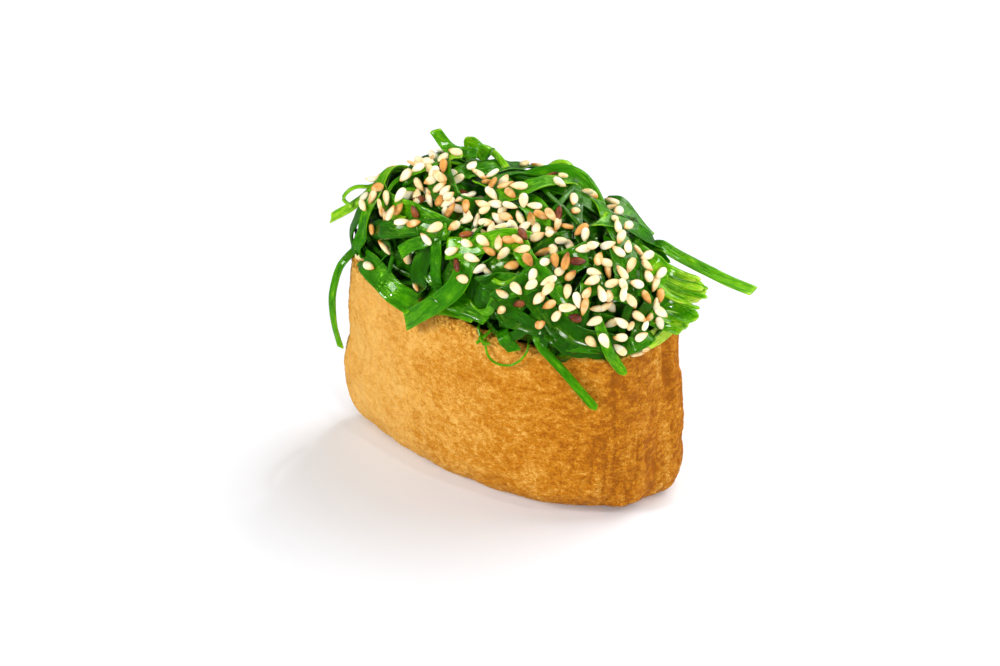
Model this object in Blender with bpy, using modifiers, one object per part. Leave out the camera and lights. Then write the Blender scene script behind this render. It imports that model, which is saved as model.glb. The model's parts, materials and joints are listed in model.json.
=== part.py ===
"""Inari sushi: a fried tofu pouch, open at the top and heaped with seaweed salad.

The pouch stands on its flat underside. Its plan is a leaf: a pointed tip at -X and a blunt end at
+X. The salad fills a shallow recess in its mouth and rises over it as one uneven heap, and the
loose strips of seaweed that lie clear of the heap are pieces of their own.

Frame: the origin is on the underside, in the middle of the pouch. +X runs along it to the blunt
end, -Y is the front wall and +Z is up. Sizes are in millimetres until a mesh is made.
"""

import math

import bmesh
import bpy
import numpy as np
from mathutils import Vector, noise
from mathutils.bvhtree import BVHTree

MM = 0.001

# The pouch's mouth, measured on the outside of its rim.
RIM_LENGTH = 65.2
RIM_HALF_WIDTH = 17.7
RIM_HEIGHT = 37.5
RIM_TILT = -0.023  # rise of the rim for each mm along X
RIM_WAVE = 0.5
TIP_POWER = 0.84  # a small power at an end of the leaf makes that end blunt
FRONT_BLUNT_POWER = 0.43
BACK_BLUNT_POWER = 0.74
TIP_ROUNDING = 1.2

# The wall swells out below the rim and turns under to the flat underside, by these amounts at the
# tip, at the sides and at the blunt end.
BULGE_HEIGHT = 12.0
BULGE = np.array([2.2, 1.9, 1.5])
FOOT_HEIGHT = 9.0
FOOT = np.array([7.0, 8.4, 3.8])
FOOT_POWER = 2.2
WALL = 2.4
RECESS = 6.5
WRINKLE = 0.3
PLEAT = 0.6
PLEAT_WIDTH = 2.6

# The heap over the rim.
HEAP_HEIGHT = 24.0
HEAP_LEDGE = 5.0  # height over the rim at which the heap is widest
HEAP_LUMP = 1.3
CREST_AT_TIP = 0.95  # the crest's share of the heap's height, and how it changes: start, run, change
CREST_STEPS = (
    (-34.0, 8.0, 0.20),
    (-16.0, 13.0, -0.20),
    (-2.0, 9.0, 0.09),
    (10.0, 9.0, -0.12),
    (20.0, 7.0, -0.32),
)
LUMP_SIZE = 7.5
GAP = 0.4

AROUND = 84

# Loose strips of seaweed: name, width, the way the broad side faces, and the route of the middle.
STRIP_THICKNESS = 0.8
STRIP_STEPS = 14
STRIP_BRIDGE = 0.06  # a wide strip bridges the bumps below it: more clearance for each mm of width
STRIPS = (
    ("tip_hanging_strip", 1.6, (-0.3, -1, 0.3), (
        (-31.5, -1.2, 40.4), (-32.9, -1.6, 38.2), (-34.6, -1.8, 33.8),
        (-35.8, -1.8, 27.8), (-35.6, -1.6, 21.9), (-34.6, -1.4, 17.0))),
    ("tip_top_strip", 2.2, (-0.3, -0.6, 0.8), (
        (-24.5, -2.4, 55.6), (-28.6, -2.2, 52.6), (-32.0, -2.0, 49.4), (-35.1, -2.0, 46.9))),
    ("crest_strip", 2.4, (0.2, -0.8, 0.5), (
        (-8.0, 3.2, 63.4), (-9.9, 3.1, 63.3), (-12.1, 3.0, 63.2), (-13.9, 3.0, 64.2),
        (-15.9, 3.0, 67.0))),
    ("crest_knob", 3.2, (0.3, -0.9, 0.3), (
        (-6.2, 6.0, 61.4), (-8.0, 6.0, 62.2), (-9.6, 6.2, 63.0), (-10.9, 6.2, 64.6))),
    ("crest_arch", 4.2, (0.1, -0.5, 0.85), (
        (-4.4, -1.2, 59.6), (-2.0, 0.0, 59.6), (0.9, 2.2, 60.2), (4.2, 4.4, 61.0),
        (7.6, 5.6, 61.6), (10.6, 5.4, 61.2), (13.0, 4.4, 59.6), (14.8, 3.0, 57.6))),
    ("blunt_edged_strip", 4.2, (0.6, -0.2, 0.75), (
        (16.4, 7.6, 56.8), (18.8, 7.2, 54.8), (21.3, 6.7, 52.4), (23.9, 6.2, 50.2))),
    ("blunt_long_strip", 2.3, (0.1, -0.5, 0.85), (
        (23.1, 2.6, 51.0), (26.1, 2.0, 50.7), (31.6, 1.4, 50.0), (36.6, 0.8, 48.7),
        (41.3, 0.4, 47.3), (45.9, 0.0, 46.4))),
    ("blunt_leaf", 6.2, (0.3, -0.55, 0.75), (
        (20.5, -3.4, 53.8), (25.6, -4.4, 50.6), (32.1, -5.0, 48.0), (38.0, -5.0, 47.0))),
    ("front_hanging_strip", 2.2, (0.1, -1, 0.25), (
        (9.1, -17.2, 43.8), (11.3, -18.4, 40.4), (13.9, -19.0, 37.2),
        (16.4, -18.8, 34.3), (19.2, -18.3, 30.6), (22.0, -17.7, 26.8))),
    ("blunt_hanging_strip", 2.3, (0.5, -0.9, 0.3), (
        (20.4, -15.6, 48.0), (21.9, -16.8, 44.4), (23.2, -16.8, 40.4), (24.8, -16.2, 37.2),
        (26.4, -15.2, 34.0))),
    ("front_ribbon", 4.0, (-0.4, -0.9, 0.35), (
        (-2.6, -12.6, 55.6), (-3.3, -15.0, 51.3), (-5.3, -16.2, 46.9), (-9.0, -15.8, 42.4),
        (-12.8, -14.8, 38.6), (-16.4, -13.2, 35.0))),
    ("rim_ribbon", 4.2, (-0.4, -0.7, 0.6), (
        (-29.0, -3.6, 41.2), (-25.6, -6.4, 41.4), (-22.0, -9.2, 40.8), (-18.6, -11.4, 39.6))),
)

FRIED_TOFU = ("fried_tofu", (0.60, 0.27, 0.07), 0.55)
SEAWEED = ("seaweed", (0.03, 0.19, 0.02), 0.25)
PALE_SEAWEED = ("pale_seaweed", (0.16, 0.45, 0.06), 0.25)


def clear_scene():
    for old in list(bpy.data.objects):
        bpy.data.objects.remove(old, do_unlink=True)


def new_collection(name):
    collection = bpy.data.collections.new(name)
    bpy.context.scene.collection.children.link(collection)
    return collection


def material(name, colour, roughness):
    """A Principled material, made once for each name."""
    found = bpy.data.materials.get(name)
    if found:
        return found
    made = bpy.data.materials.new(name)
    made.use_nodes = True
    shader = made.node_tree.nodes["Principled BSDF"]
    shader.inputs["Base Color"].default_value = (*colour, 1)
    shader.inputs["Roughness"].default_value = roughness
    return made


def new_object(name, mesh, collection, finish):
    thing = bpy.data.objects.new(name, mesh)
    mesh.materials.append(material(*finish))
    mesh.shade_smooth()
    collection.objects.link(thing)
    return thing


def bumps(points, size):
    """Smooth noise from about -1 to 1 at each point, with lumps of the given size (x, y, z)."""
    return np.array([noise.noise(Vector(p)) for p in points / np.asarray(size)])


def outline(length, half_width):
    """The leaf-shaped plan as AROUND points, from the tip along the front to the blunt end and
    back. The half width at a share u of the length goes by u^TIP_POWER (1 - u)^blunt."""
    fine = 8 * AROUND
    turn = np.arange(fine) * 2 * np.pi / fine
    share = (1 - np.cos(turn)) / 2
    blunt = np.where(turn < np.pi, FRONT_BLUNT_POWER, BACK_BLUNT_POWER)
    widest = TIP_POWER / (TIP_POWER + blunt)
    peak = widest**TIP_POWER * (1 - widest) ** blunt
    across = half_width * share**TIP_POWER * (1 - share) ** blunt / peak
    plan = np.stack([(share - 0.5) * length, -np.sign(np.sin(turn)) * across], 1)
    plan = evenly_spaced(plan, fine)
    spacing = np.linalg.norm(plan[1] - plan[0])
    for _ in range(round(2 * (TIP_ROUNDING / spacing) ** 2)):
        plan = (np.roll(plan, 1, 0) + 2 * plan + np.roll(plan, -1, 0)) / 4
    return plan[::8]


def evenly_spaced(plan, count):
    """The closed outline read again at equal steps along its length."""
    closed = np.vstack([plan, plan[:1]])
    run = np.concatenate([[0], np.cumsum(np.linalg.norm(np.diff(closed, axis=0), axis=1))])
    at = np.linspace(0, run[-1], count, endpoint=False)
    return np.stack([np.interp(at, run, closed[:, 0]), np.interp(at, run, closed[:, 1])], 1)


def rim_rise(plan):
    """How far the rim stands over or under RIM_HEIGHT at each point of a plan."""
    flat = np.column_stack([plan, np.zeros(len(plan))])
    return RIM_TILT * plan[:, 0] + RIM_WAVE * bumps(flat, (11, 11, 11))


def swell(height):
    """The share of the bulge at a height: 1 up to BULGE_HEIGHT, and from there to 0 at the rim."""
    over = (height - BULGE_HEIGHT) / (RIM_HEIGHT - BULGE_HEIGHT)
    return 1 - np.clip(over, 0, 1) ** 1.3


def turned_under(height):
    """The share of the foot's turn at a height, as the quarter of a superellipse."""
    under = max(0, 1 - height / FOOT_HEIGHT)
    return 1 - math.sqrt(1 - under**FOOT_POWER)


def ring(inset, height):
    """One ring of the pouch: its plan at a height, drawn in by the inset, as points."""
    tip, side, blunt = BULGE * swell(height) - FOOT * turned_under(height) - inset
    plan = outline(RIM_LENGTH + tip + blunt, RIM_HALF_WIDTH + side) + [(blunt - tip) / 2, 0]
    level = height + rim_rise(plan) * height / RIM_HEIGHT
    return np.column_stack([plan, level])


def outward(points):
    """The horizontal unit normals of a ring."""
    along = np.roll(points, -1, 0) - np.roll(points, 1, 0)
    normal = np.stack([along[:, 1], -along[:, 0], np.zeros(len(points))], 1)
    return normal / np.linalg.norm(normal, axis=1, keepdims=True)


def wrinkled(points, height):
    """A ring of the outer wall with its upright wrinkles and the pleat at the blunt end."""
    blunt = np.clip((points[:, 0] - 20) / 12, 0, 1)
    relief = WRINKLE * (1 + blunt) * bumps(points, (5, 5, 22))
    pleat_y = -9.0 + 0.1 * height
    near = np.where(points[:, 0] > 0, (points[:, 1] - pleat_y) / PLEAT_WIDTH, 9)
    relief -= PLEAT * np.exp(-(near**2)) * blunt
    relief += PLEAT * np.exp(-((near - 1.6) ** 2)) * blunt
    fade = min(1, height / 1.5) * min(1, (RIM_HEIGHT - height) / 4 + 0.3)
    return points + outward(points) * (relief * fade)[:, None]


def loft(name, rings, collection, finish):
    """A closed mesh through rings of equal count, with a pole at the middle of each end."""
    shape = bmesh.new()
    rows = [[shape.verts.new(p * MM) for p in points] for points in rings]
    for low, high in zip(rows, rows[1:]):
        for i in range(len(low)):
            j = (i + 1) % len(low)
            shape.faces.new((low[i], low[j], high[j], high[i]))
    for row, flip in ((rows[0], True), (rows[-1], False)):
        pole = shape.verts.new(sum((v.co for v in row), Vector()) / len(row))
        for i in range(len(row)):
            pair = (row[i], row[(i + 1) % len(row)])
            shape.faces.new((*reversed(pair), pole) if flip else (*pair, pole))
    mesh = bpy.data.meshes.new(name)
    shape.to_mesh(mesh)
    shape.free()
    return new_object(name, mesh, collection, finish)


def tofu_pouch(collection):
    """The pouch: wall, rounded rim and a shallow recess for the salad."""
    lip = WALL / 2
    shoulder = RIM_HEIGHT - lip
    heights = [0, 0.4, 1.2, 2.4, 4.4, 7.4, 11, 16, 21, 26, 31, 34.5]
    rings = [wrinkled(ring(0, z), z) for z in heights]
    for k in range(5):
        turn = math.pi * k / 4
        rings.append(ring(lip * (1 - math.cos(turn)), shoulder + lip * math.sin(turn)))
    floor = RIM_HEIGHT - RECESS
    for inset, up in ((WALL, 1.2), (WALL + 0.4, 0.35), (WALL + 1.3, 0)):
        rings.append(ring(inset, floor + up))
    return loft("tofu_pouch", rings, collection, FRIED_TOFU)


def heap_rings():
    """Rings of the salad: up from the recess, out over the rim and in to the top."""
    floor = RIM_HEIGHT - RECESS
    inside = ((WALL + 2.0, GAP), (WALL + 0.9, 1.0), (WALL + GAP, 2.2), (WALL + GAP, RECESS - 1))
    rings = [ring(inset, floor + up) for inset, up in inside]
    for inset, up in ((2.1, 0.9), (0.9, 2.4), (0.2, HEAP_LEDGE)):
        rings.append(ring(inset, RIM_HEIGHT) + [0, 0, up])
    ledge = rings[-1]
    middle = np.array([0, 1.0, 0])
    for reach in np.cos(np.linspace(0, np.pi / 2, 15)[1:-1]):
        level = ledge * [reach, reach, 1] + middle * (1 - reach)
        rise = (HEAP_HEIGHT - HEAP_LEDGE) * math.sqrt(1 - reach**2.4)
        rings.append(level + np.outer(rise * crest(level[:, 0]), [0, 0, 1]))
    return rings


def crest(x):
    """The share of the heap's height along X, as smooth steps from the tip to the blunt end."""
    steps = (change * eased((x - start) / run) for start, run, change in CREST_STEPS)
    return CREST_AT_TIP + sum(steps)


def eased(share):
    """A smooth step from 0 to 1 as the share goes from 0 to 1."""
    share = np.clip(share, 0, 1)
    return share**2 * (3 - 2 * share)


def seaweed_salad(collection):
    """The heap of salad as one solid out to its uneven outline."""
    heap = loft("seaweed_salad", heap_rings(), collection, SEAWEED)
    mesh = heap.data
    count = len(mesh.vertices)
    points, normals = np.empty(count * 3, np.float32), np.empty(count * 3, np.float32)
    mesh.vertices.foreach_get("co", points)
    mesh.vertex_normals.foreach_get("vector", normals)
    points, normals = points.reshape(-1, 3) / MM, normals.reshape(-1, 3)
    lumps = bumps(points, [LUMP_SIZE] * 3) + 0.4 * bumps(points, [LUMP_SIZE / 2.2] * 3)
    free = np.clip((points[:, 2] - RIM_HEIGHT - 1) / HEAP_LEDGE, 0, 1)
    points += normals * (HEAP_LUMP * lumps * free)[:, None]
    mesh.vertices.foreach_set("co", (points * MM).astype(np.float32).ravel())
    mesh.update()
    return heap


def smooth_route(points, count):
    """A Catmull-Rom curve through the points, read at equal steps."""
    ends = [2 * points[0] - points[1], *points, 2 * points[-1] - points[-2]]
    at = np.linspace(0, len(points) - 1, count + 1)
    place = np.minimum(at.astype(int), len(points) - 2)
    a, b, c, d = (np.array(ends)[place + k] for k in range(4))
    t = (at - place)[:, None]
    return b + t * (c - a) / 2 + t**2 * (a - 2.5 * b + 2 * c - d / 2) + t**3 * (
        (d - a) / 2 + 1.5 * (b - c)
    )


def lay_clear(points, others, clearance):
    """The points, with each that is nearer than the clearance to a solid moved out from it."""
    laid = points.copy()
    for tree in others:
        for i, point in enumerate(laid):
            near, normal, _, _ = tree.find_nearest(Vector(point * MM))
            away = (point - np.array(near) / MM) @ np.array(normal)
            if away < clearance:
                laid[i] = np.array(near) / MM + np.array(normal) * clearance
    return laid


def loose_strip(name, width, facing, points, others, collection):
    """A ribbon of seaweed: a grid laid along its route, clear of the solids, and thickened."""
    route = smooth_route(np.array(points), STRIP_STEPS)
    along = np.gradient(route, axis=0)
    side = np.cross(along, facing)
    side /= np.linalg.norm(side, axis=1, keepdims=True)
    shape = bmesh.new()
    bmesh.ops.create_grid(shape, x_segments=2, y_segments=STRIP_STEPS, size=1)
    rows = sorted(shape.verts, key=lambda v: (round(v.co.y, 4), v.co.x))
    across = np.array([v.co.x for v in rows]).reshape(-1, 3, 1)
    grid = (route[:, None] + side[:, None] * across * width / 2).reshape(-1, 3)
    clearance = GAP + STRIP_THICKNESS / 2 + STRIP_BRIDGE * width
    for vert, place in zip(rows, lay_clear(grid, others, clearance)):
        vert.co = place * MM
    mesh = bpy.data.meshes.new(name)
    shape.to_mesh(mesh)
    shape.free()
    strip = new_object(name, mesh, collection, PALE_SEAWEED)
    thickness = strip.modifiers.new("thickness", "SOLIDIFY")
    thickness.thickness = STRIP_THICKNESS * MM
    thickness.offset = 0
    return strip


def main():
    clear_scene()
    parts = new_collection("inari_sushi")
    solids = [tofu_pouch(parts), seaweed_salad(parts)]
    bpy.context.view_layer.update()
    scene = bpy.context.evaluated_depsgraph_get()
    others = [BVHTree.FromObject(solid, scene) for solid in solids]
    for name, width, facing, points in STRIPS:
        loose_strip(name, width, facing, points, others, parts)


main()
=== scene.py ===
# %% [markdown]
# # Inari sushi with seaweed salad
# A pouch of fried tofu stands open and holds a heap of cut seaweed under sesame seeds. The packed
# model gives the sizes and the places. This script gives the surfaces: the fried skin, the ribbons
# of seaweed one by one and every seed. Sizes are in millimetres until a mesh is made.

import json
import math

import bpy
import numpy as np
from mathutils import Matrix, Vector
from mathutils.bvhtree import BVHTree

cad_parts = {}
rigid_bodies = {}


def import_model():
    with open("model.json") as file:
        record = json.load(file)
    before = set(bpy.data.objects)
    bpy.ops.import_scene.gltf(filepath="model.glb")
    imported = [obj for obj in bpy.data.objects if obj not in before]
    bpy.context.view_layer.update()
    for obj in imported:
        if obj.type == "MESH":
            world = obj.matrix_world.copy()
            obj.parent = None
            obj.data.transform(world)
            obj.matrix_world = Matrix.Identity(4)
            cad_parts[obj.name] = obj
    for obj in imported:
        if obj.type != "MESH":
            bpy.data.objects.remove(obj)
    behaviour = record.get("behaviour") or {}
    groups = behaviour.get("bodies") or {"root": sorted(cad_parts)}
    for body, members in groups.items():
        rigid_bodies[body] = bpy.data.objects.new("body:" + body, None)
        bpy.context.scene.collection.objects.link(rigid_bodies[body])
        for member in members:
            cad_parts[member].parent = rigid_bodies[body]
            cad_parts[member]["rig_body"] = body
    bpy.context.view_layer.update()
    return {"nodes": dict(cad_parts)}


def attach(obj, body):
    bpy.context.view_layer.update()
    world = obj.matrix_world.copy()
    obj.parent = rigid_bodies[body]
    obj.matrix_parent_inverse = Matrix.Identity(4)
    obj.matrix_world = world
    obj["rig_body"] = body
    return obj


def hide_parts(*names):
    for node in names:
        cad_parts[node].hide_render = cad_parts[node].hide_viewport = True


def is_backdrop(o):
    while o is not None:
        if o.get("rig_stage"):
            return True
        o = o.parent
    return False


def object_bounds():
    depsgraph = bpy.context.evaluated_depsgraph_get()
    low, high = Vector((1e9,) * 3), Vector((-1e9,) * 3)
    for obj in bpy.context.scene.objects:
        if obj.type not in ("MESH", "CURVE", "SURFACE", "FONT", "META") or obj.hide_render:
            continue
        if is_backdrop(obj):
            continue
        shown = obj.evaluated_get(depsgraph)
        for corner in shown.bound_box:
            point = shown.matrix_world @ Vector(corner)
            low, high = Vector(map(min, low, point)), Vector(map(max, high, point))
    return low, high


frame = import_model()
MM = 0.001
random = np.random.default_rng(7)
print("nodes:", sorted(frame["nodes"]))

# %% [markdown]
# ## Camera and light
# Food like this stands on a white table under large soft lamps. A wide lamp behind and to the right
# lights the heap and lays a pale shadow in front, and two wide lamps in front open the shadows. A
# wet leaf mirrors what lights it: a wide lamp gives it a grey veil and a small one a sharp glint, so
# three small lamps add the glints. A white world does the rest.


# %% Camera
def aim(thing, place, target):
    """Puts a lamp or camera at a place, in mm, and turns it to look at the target."""
    thing.location = Vector(place) * MM
    thing.rotation_euler = (Vector(target) - Vector(place)).to_track_quat("-Z", "Y").to_euler()


VIEW_AZIMUTH, VIEW_ELEVATION = math.radians(18.5), math.radians(35)
VIEW_TARGET = Vector((-2.2, -0.6, 27.0))
VIEW_DISTANCE = 500.0
level = math.cos(VIEW_ELEVATION)
back = Vector(
    (math.sin(VIEW_AZIMUTH) * level, -math.cos(VIEW_AZIMUTH) * level, math.sin(VIEW_ELEVATION))
)
camera = bpy.data.objects.new("camera", bpy.data.cameras.new("camera"))
camera.data.lens = 95
camera.data.clip_start = 0.01
bpy.context.scene.collection.objects.link(camera)
aim(camera, VIEW_TARGET + back * VIEW_DISTANCE, VIEW_TARGET)
bpy.context.scene.camera = camera
bpy.context.scene.view_settings.view_transform = "Standard"
print("camera at, mm:", [round(value / MM) for value in camera.location])


# %% Lamps and world
def softbox(name, place, size, watts):
    """A square area lamp, its place and size in mm, that looks at the food."""
    lamp = bpy.data.lights.new(name, "AREA")
    lamp.size = size * MM
    lamp.energy = watts
    thing = bpy.data.objects.new(name, lamp)
    bpy.context.scene.collection.objects.link(thing)
    aim(thing, place, (0, 0, 30))


softbox("key_softbox", (400, 400, 640), 820, 7.9)
softbox("left_softbox", (-500, -420, 330), 240, 3.3)
softbox("right_softbox", (460, -460, 300), 170, 2.1)
softbox("glint_left", (-260, -360, 430), 30, 0.36)
softbox("glint_back", (60, 360, 560), 30, 0.36)
softbox("glint_right", (380, -200, 460), 30, 0.32)

world = bpy.data.worlds.new("white_room")
world.use_nodes = True
world.node_tree.nodes["Background"].inputs["Color"].default_value = (1, 1, 1, 1)
world.node_tree.nodes["Background"].inputs["Strength"].default_value = 0.15
bpy.context.scene.world = world
print("lamps:", [lamp.name for lamp in bpy.data.lights])

# %% [markdown]
# ## Materials: a few small helpers
# Every finish below is a Principled shader with a short chain of nodes in front of it: noise and
# measured attributes are mapped to a range, summed to a tone, and the tone picks a colour on a ramp.
# One function turns a hex colour as a designer writes it into the linear numbers that Blender
# wants, one starts a material, and one adds any node with its settings and links.


# %% Colour and node helpers
def linear(code):
    """The linear RGBA of an sRGB hex colour."""
    channels = np.array([int(code[i : i + 2], 16) for i in (1, 3, 5)]) / 255
    low, high = channels / 12.92, ((channels + 0.055) / 1.055) ** 2.4
    return (*np.where(channels <= 0.04045, low, high).tolist(), 1.0)


def new_material(name, **sockets):
    """A material whose Principled shader has the given sockets set, and its node tree."""
    made = bpy.data.materials.new(name)
    made.use_nodes = True
    shader = made.node_tree.nodes["Principled BSDF"]
    for socket, value in sockets.items():
        shader.inputs[socket.replace("_", " ")].default_value = value
    return made, made.node_tree, shader


def add_node(tree, kind, inputs=(), output=0, stops=(), **settings):
    """Adds a node and gives back one of its outputs. The inputs are named, or in the node's own order:
    another node's output is linked, and a number or a hex colour is set. A ramp has (place, hex)
    stops."""
    node = tree.nodes.new(kind)
    for name, value in settings.items():
        setattr(node, name, value)
    for socket, value in inputs.items() if isinstance(inputs, dict) else enumerate(inputs):
        if isinstance(value, bpy.types.NodeSocket):
            tree.links.new(value, node.inputs[socket])
        else:
            node.inputs[socket].default_value = linear(value) if isinstance(value, str) else value
    for _ in stops[2:]:
        node.color_ramp.elements.new(0.5)
    for element, (place, code) in zip(node.color_ramp.elements if stops else (), stops):
        element.position = place
        element.color = linear(code)
    return node.outputs[output]


def per_mm(size):
    """The Scale of a noise texture whose lumps have the given size in mm."""
    return 1 / (size * MM)


def toned(tree, tone, changes):
    """The tone plus some changes, each (value, its low and high, the change at low and at high)."""
    for change in changes:
        change = add_node(tree, "ShaderNodeMapRange", change)
        tone = add_node(tree, "ShaderNodeMath", (tone, change))
    return tone


def edge_share(tree, uv):
    """The cosine of twice the angle round a tube: 1 at its two edges, -1 on its two broad sides."""
    share = add_node(tree, "ShaderNodeSeparateXYZ", (uv,), "Y")
    angle = add_node(tree, "ShaderNodeMath", (share, 4 * math.pi), operation="MULTIPLY")
    return add_node(tree, "ShaderNodeMath", (angle,), operation="COSINE")


print("half grey in linear numbers:", round(linear("#808080")[0], 3))

# %% [markdown]
# ## Shared shapes: noise, curves and meshes
# Fried skin and wet leaves are uneven at every size. Smooth noise on a lattice gives that, and it is
# the same on every run. The ribbons follow Catmull-Rom curves, which pass through every point that
# they are given. All the shapes are grids of points, so one function can close and fill any of them.


# %% Noise and curves
def bumps(points, size, seed=0):
    """Smooth random values from -1 to 1 at each point. Each corner of a lattice of cells of the given
    size has a random value, and these are blended by 3t^2 - 2t^3 along each axis of the cell."""
    place = np.asarray(points, float) / size + 31.7 * seed
    cell = np.floor(place).astype(np.int64)
    share = eased(place - cell)
    total = np.zeros(place.shape[:-1])
    for corner in np.ndindex(2, 2, 2):
        code = (cell + corner) @ np.array([73856093, 19349663, 83492791])
        code = (code ^ (code >> 13)) * 1274126177
        value = ((code ^ (code >> 16)) & 0xFFFF) / 32768 - 1
        total += value * np.prod(np.where(corner, share, 1 - share), axis=-1)
    return total


def eased(share):
    """A smooth step, 3t^2 - 2t^3, from 0 to 1 as the share goes from 0 to 1."""
    share = np.clip(share, 0, 1)
    return share**2 * (3 - 2 * share)


def ridge(distance, width):
    """A rounded ridge, e^-(d/w)^2, at a distance d from its middle."""
    return np.exp(-((distance / width) ** 2))


def unit(vectors):
    """The vectors at length 1."""
    return vectors / np.maximum(np.linalg.norm(vectors, axis=-1, keepdims=True), 1e-9)


def smooth_route(points, steps):
    """A Catmull-Rom curve through the points, read at equal steps of its own length."""
    points = np.array(points, float)
    ends = np.array([2 * points[0] - points[1], *points, 2 * points[-1] - points[-2]])
    at = np.linspace(0, len(points) - 1, 12 * steps)
    place = np.minimum(at.astype(int), len(points) - 2)
    a, b, c, d = (ends[place + k] for k in range(4))
    t = (at - place)[:, None]
    fine = b + t * (c - a) / 2 + t**2 * (a - 2.5 * b + 2 * c - d / 2)
    fine += t**3 * ((d - a) / 2 + 1.5 * (b - c))
    run = np.concatenate([[0], np.cumsum(np.linalg.norm(np.diff(fine, axis=0), axis=1))])
    even = np.linspace(0, run[-1], steps)
    return np.stack([np.interp(even, run, axis) for axis in fine.T], -1)


print("a bend read in five steps:", smooth_route(((0, 0), (1, 1), (2, 0)), 5).round(2).tolist())


# %% Closed tubes as meshes
def add_tubes(name, tubes, finish, attributes=(), stretch=1.0):
    """One object from tubes, an array (tube, row, around, xyz) in mm. Both ends are closed by a fan
    to their middle. The UV map holds the share of the length, times the stretch, and the share of
    the way round. Each tube's is moved by a whole number of its own, so no two look the same."""
    tubes = np.asarray(tubes, float)
    count, rows, around, _ = tubes.shape
    middles = tubes[:, [0, -1]].mean(axis=2)
    points = np.concatenate([tubes.reshape(count, -1, 3), middles], axis=1)
    index = np.arange(rows * around).reshape(rows, around)
    after = np.roll(index, -1, axis=1)
    quads = np.stack([index[:-1], after[:-1], after[1:], index[1:]], -1).reshape(-1, 4)
    pole = np.full(around, rows * around)
    fans = np.concatenate(
        [np.stack([pole, after[0], index[0]], -1), np.stack([pole + 1, index[-1], after[-1]], -1)]
    )
    shift = (np.arange(count) * points.shape[1])[:, None, None]
    faces = (quads + shift).reshape(-1, 4).tolist() + (fans + shift).reshape(-1, 3).tolist()
    mesh = bpy.data.meshes.new(name)
    mesh.from_pydata((points.reshape(-1, 3) * MM).tolist(), [], faces)
    row, step = np.divmod(np.arange(rows * around), around)
    row_uv, step_uv = row[quads], step[quads]
    step_uv[:, 1:3] = step_uv[:, [0, 3]] + 1
    quad_uv = np.stack([row_uv / (rows - 1), step_uv / around], -1)
    share = (np.arange(around) / around)[:, None]
    first = np.stack([np.zeros((around, 3)), share + np.array([0.5, 1, 0]) / around], -1)
    last = np.stack([np.ones((around, 3)), share + np.array([0.5, 0, 1]) / around], -1)
    own = np.arange(count)[:, None, None, None] * np.array([0.0, 7.0])
    scale = np.array([stretch, 1.0])
    uv = np.concatenate(
        [
            (quad_uv[None] * scale + own).reshape(-1, 2),
            (np.concatenate([first, last])[None] * scale + own).reshape(-1, 2),
        ]
    )
    mesh.uv_layers.new(name="uv").data.foreach_set("uv", uv.astype(np.float32).ravel())
    for label, values in dict(attributes).items():
        values = np.broadcast_to(values, (count, rows, around)).reshape(count, -1)
        values = np.concatenate([values, values[:, [0, -1]]], axis=1)
        layer = mesh.attributes.new(label, "FLOAT", "POINT")
        layer.data.foreach_set("value", values.astype(np.float32).ravel())
    mesh.shade_smooth()
    mesh.materials.append(finish)
    thing = bpy.data.objects.new(name, mesh)
    bpy.context.scene.collection.objects.link(thing)
    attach(thing, "root")
    triangles = count * (2 * (rows - 1) * around + 2 * around)
    print(f"{name}: {count} pieces, {triangles} triangles")
    return thing


# %% [markdown]
# ## The pouch: plan and wall
# The pouch is a half of a fried tofu sheet, opened and filled, so its plan is a leaf with a pointed
# corner and a blunt end. A plan and a stack of heights could be lofted, cut from a block or swept.
# The rows here are copies of one plan drawn in or let out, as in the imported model, because each
# row then has the same number of points and fine relief can be added straight onto the grid.

# %% Plan of the pouch
RIM_LENGTH, RIM_HALF_WIDTH, RIM_HEIGHT = 65.2, 17.7, 37.5
RIM_TILT, RIM_WAVE = -0.023, 0.5
TIP_POWER, FRONT_BLUNT_POWER, BACK_BLUNT_POWER = 0.84, 0.43, 0.74
BULGE_HEIGHT, FOOT_HEIGHT, FOOT_POWER = 12.0, 9.0, 2.2
BULGE = np.array([2.2, 1.9, 1.5])  # at the tip, the sides and the blunt end
FOOT = np.array([7.0, 8.4, 3.8])
WALL, RECESS = 2.4, 6.5
AROUND = 480


def evenly_spaced(plan, count):
    """The closed plan read again at equal steps along its length."""
    closed = np.vstack([plan, plan[:1]])
    run = np.concatenate([[0], np.cumsum(np.linalg.norm(np.diff(closed, axis=0), axis=1))])
    at = np.linspace(0, run[-1], count, endpoint=False)
    return np.stack([np.interp(at, run, axis) for axis in closed.T], -1)


def leaf(count, rounding=1.2):
    """The plan, from -0.5 to 0.5 long and -1 to 1 wide. At a share u of the length the half width
    goes by u^tip (1 - u)^blunt. The corner at the tip is rounded by averaging neighbours."""
    turn = np.arange(4 * count) * 2 * np.pi / (4 * count)
    share = (1 - np.cos(turn)) / 2
    blunt = np.where(turn < np.pi, FRONT_BLUNT_POWER, BACK_BLUNT_POWER)
    widest = TIP_POWER / (TIP_POWER + blunt)
    peak = widest**TIP_POWER * (1 - widest) ** blunt
    across = share**TIP_POWER * (1 - share) ** blunt / peak
    size = np.array([RIM_LENGTH, RIM_HALF_WIDTH])
    plan = np.stack([share - 0.5, -np.sign(np.sin(turn)) * across], -1) * size
    plan = evenly_spaced(plan, count)
    spacing = np.linalg.norm(plan[1] - plan[0])
    for _ in range(round(2 * (rounding / spacing) ** 2)):
        plan = (np.roll(plan, 1, 0) + 2 * plan + np.roll(plan, -1, 0)) / 4
    return plan / size


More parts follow.
